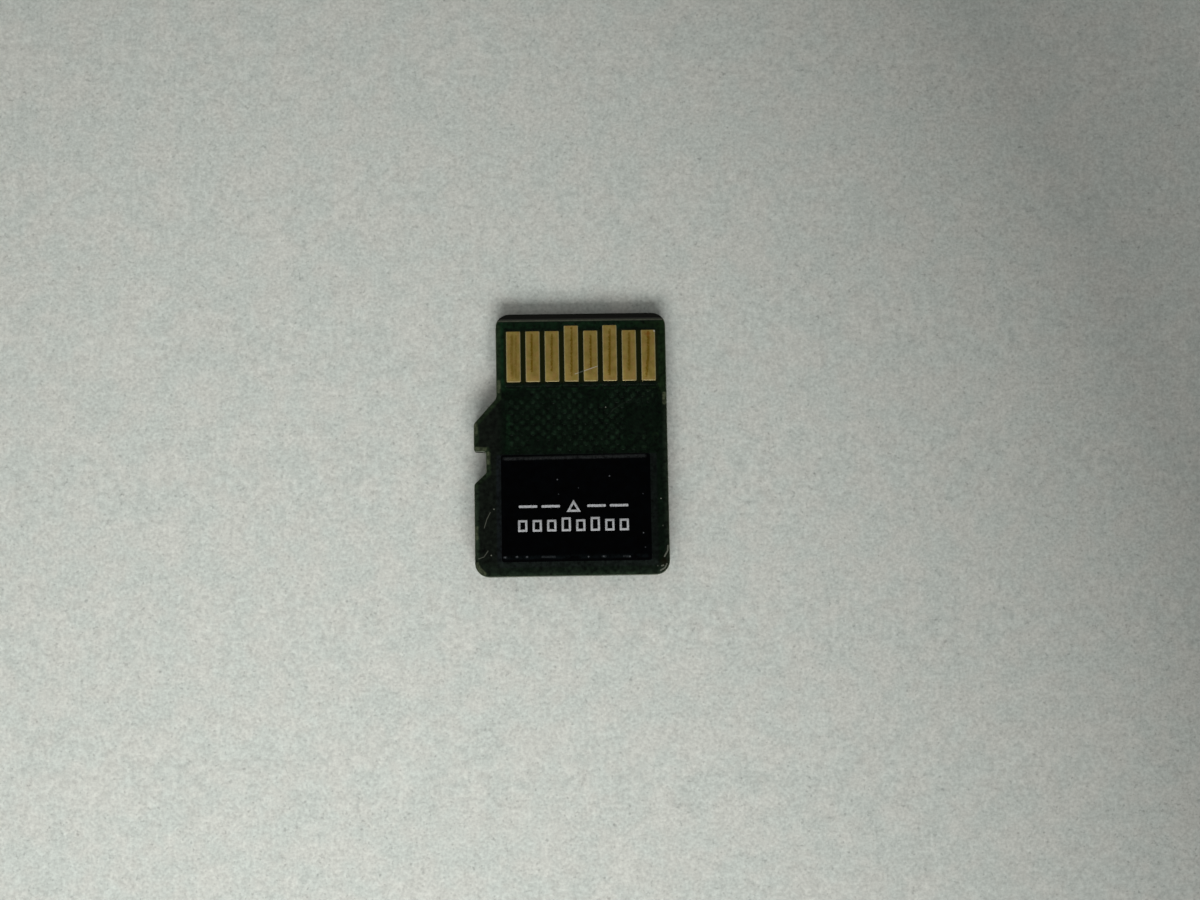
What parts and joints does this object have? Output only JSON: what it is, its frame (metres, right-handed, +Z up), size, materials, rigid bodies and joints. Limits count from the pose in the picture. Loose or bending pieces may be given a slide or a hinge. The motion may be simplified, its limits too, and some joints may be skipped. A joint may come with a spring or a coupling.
{
  "type": "memory card",
  "caption": "Thumbnail-size flat memory card with a stepped, notched side, a lead-in bevel, gold contacts on a dark green face and a finger grip under the rear edge.",
  "frame": {"origin": "on the resting surface under the middle of the card's length and width, at the height of the finger grip's crest", "axes": "+Y toward the leading edge with the contacts, +Z up out of the contact side, -X toward the notched side"},
  "size_m": [0.011, 0.015, 0.001],
  "materials": {
    "mould_epoxy": "fine matte moulded epoxy",
    "laminate_core": "cut glass-cloth laminate",
    "solder_mask": "dark green satin lacquer",
    "contact_gold": "hard gold plate with wipe marks",
    "patch_ink": "black ink",
    "silicon": "ground silicon",
    "die_film": "adhesive film",
    "inner_copper": "tinned copper",
    "bond_gold": "gold",
    "capacitor_ceramic": "fired ceramic",
    "resistor_ceramic": "fired ceramic"
  },
  "bodies": {
    "root": {"mould_body": "mould_epoxy", "laminate_board": "laminate_core", "solder_mask": "solder_mask", "ink_patch": "patch_ink", "memory_die": "silicon", "controller_die": "silicon", "memory_die_film": "die_film", "controller_die_film": "die_film", "component_lands": "inner_copper", "contact_1": "contact_gold", "contact_2": "contact_gold", "contact_3": "contact_gold", "contact_4": "contact_gold", "contact_5": "contact_gold", "contact_6": "contact_gold", "contact_7": "contact_gold", "contact_8": "contact_gold", "memory_wires": "bond_gold", "controller_rear_wires": "bond_gold", "controller_front_wires": "bond_gold", "memory_fingers": "bond_gold", "controller_rear_fingers": "bond_gold", "controller_front_fingers": "bond_gold", "capacitor_1": "capacitor_ceramic", "capacitor_2": "capacitor_ceramic", "capacitor_3": "capacitor_ceramic", "capacitor_4": "capacitor_ceramic", "resistor_1": "resistor_ceramic", "resistor_2": "resistor_ceramic"}
  },
  "joints": []
}
